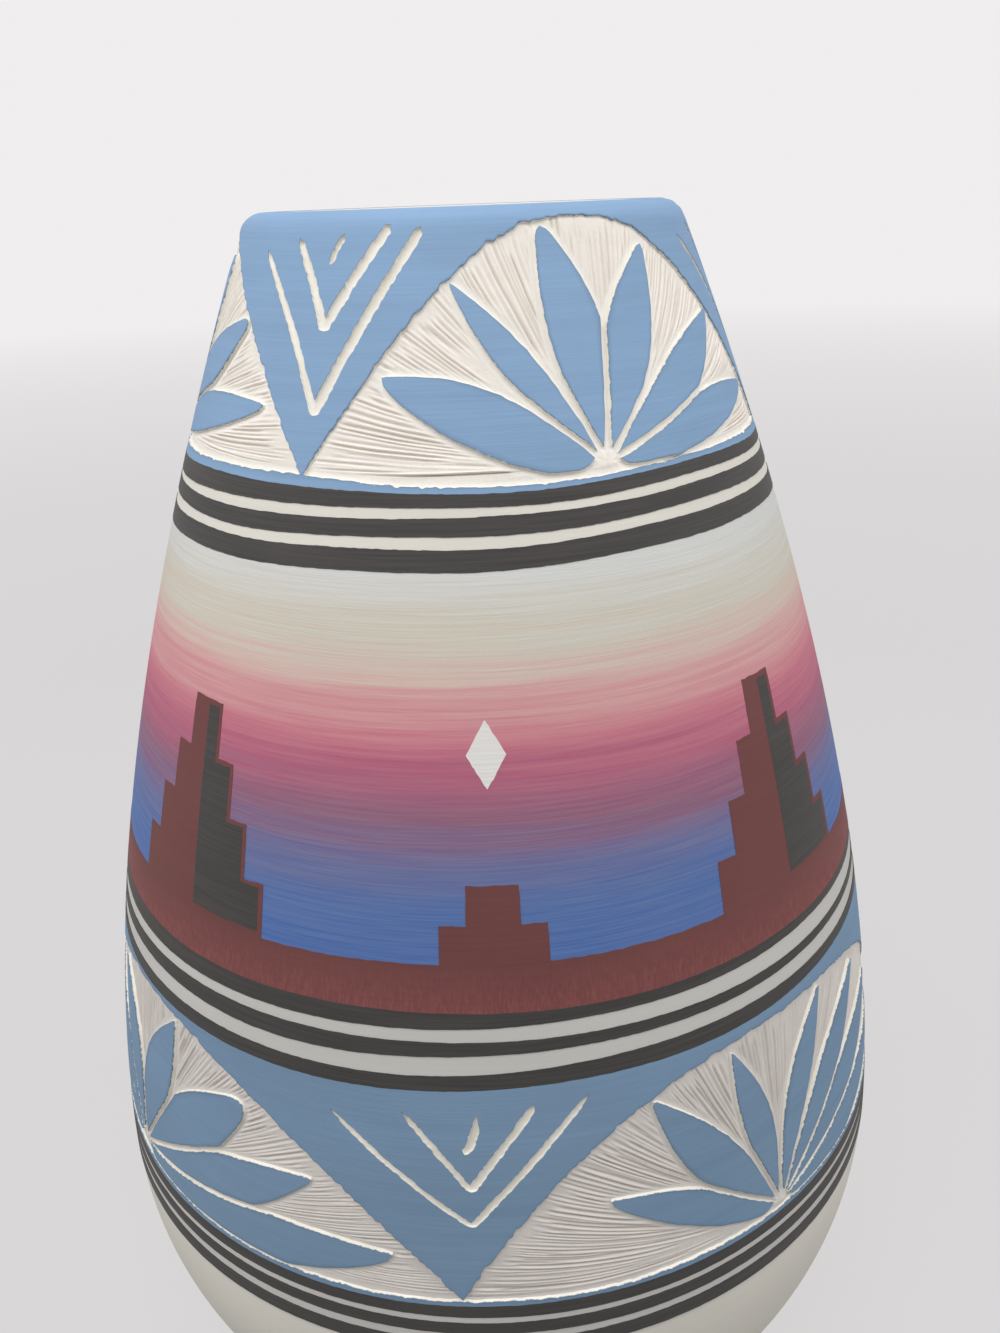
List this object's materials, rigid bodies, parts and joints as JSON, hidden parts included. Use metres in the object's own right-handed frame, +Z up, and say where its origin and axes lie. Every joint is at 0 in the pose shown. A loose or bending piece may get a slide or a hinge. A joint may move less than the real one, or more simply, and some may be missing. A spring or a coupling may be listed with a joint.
{
  "type": "etched pottery vase",
  "caption": "Tall round vase with a full low belly, narrowing shoulder and open rounded mouth; blue etched fans of petals, black line sets and a sunset band with stepped terraces.",
  "frame": {"origin": "middle of the foot, on the surface that the vase stands on", "axes": "+Z up along the vase's axis; -Y is the front seen in the picture, +X to its right"},
  "size_m": [0.1582, 0.1582, 0.238],
  "materials": {
    "bare_clay": "matt fired pale clay",
    "clear_glaze": "gloss clear glaze over pale clay",
    "blue_slip": "matt blue slip with faint wheel lines",
    "black_line": "matt black brushed line",
    "sunset_coat": "matt sprayed and brushed sunset, from pale blue through rose to blue",
    "earth_coat": "matt red-brown earth paint"
  },
  "bodies": {
    "root": {"clay_body": "bare_clay", "foot_black_line_1": "black_line", "foot_black_line_2": "black_line", "foot_black_line_3": "black_line", "inner_glaze": "clear_glaze", "lower_black_line_1": "black_line", "lower_black_line_2": "black_line", "lower_black_line_3": "black_line", "lower_blue_field": "blue_slip", "lower_blue_line": "blue_slip", "lower_fan_1_petal_1": "blue_slip", "lower_fan_1_petal_2": "blue_slip", "lower_fan_1_petal_3": "blue_slip", "lower_fan_1_petal_4": "blue_slip", "lower_fan_1_petal_5": "blue_slip", "lower_fan_1_petal_6": "blue_slip", "lower_fan_2_petal_1": "blue_slip", "lower_fan_2_petal_2": "blue_slip", "lower_fan_2_petal_3": "blue_slip", "lower_fan_2_petal_4": "blue_slip", "lower_fan_2_petal_5": "blue_slip", "lower_fan_2_petal_6": "blue_slip", "lower_fan_3_petal_1": "blue_slip", "lower_fan_3_petal_2": "blue_slip", "lower_fan_3_petal_3": "blue_slip", "lower_fan_3_petal_4": "blue_slip", "lower_fan_3_petal_5": "blue_slip", "lower_fan_3_petal_6": "blue_slip", "lower_fan_4_petal_1": "blue_slip", "lower_fan_4_petal_2": "blue_slip", "lower_fan_4_petal_3": "blue_slip", "lower_fan_4_petal_4": "blue_slip", "lower_fan_4_petal_5": "blue_slip", "lower_fan_4_petal_6": "blue_slip", "red_earth": "earth_coat", "sunset_sky": "sunset_coat", "upper_black_line_1": "black_line", "upper_black_line_2": "black_line", "upper_black_line_3": "black_line", "upper_blue_field": "blue_slip", "upper_blue_line": "blue_slip", "upper_fan_1_petal_1": "blue_slip", "upper_fan_1_petal_2": "blue_slip", "upper_fan_1_petal_3": "blue_slip", "upper_fan_1_petal_4": "blue_slip", "upper_fan_1_petal_5": "blue_slip", "upper_fan_1_petal_6": "blue_slip", "upper_fan_2_petal_1": "blue_slip", "upper_fan_2_petal_2": "blue_slip", "upper_fan_2_petal_3": "blue_slip", "upper_fan_2_petal_4": "blue_slip", "upper_fan_2_petal_5": "blue_slip", "upper_fan_2_petal_6": "blue_slip", "upper_fan_3_petal_1": "blue_slip", "upper_fan_3_petal_2": "blue_slip", "upper_fan_3_petal_3": "blue_slip", "upper_fan_3_petal_4": "blue_slip", "upper_fan_3_petal_5": "blue_slip", "upper_fan_3_petal_6": "blue_slip"}
  },
  "joints": []
}
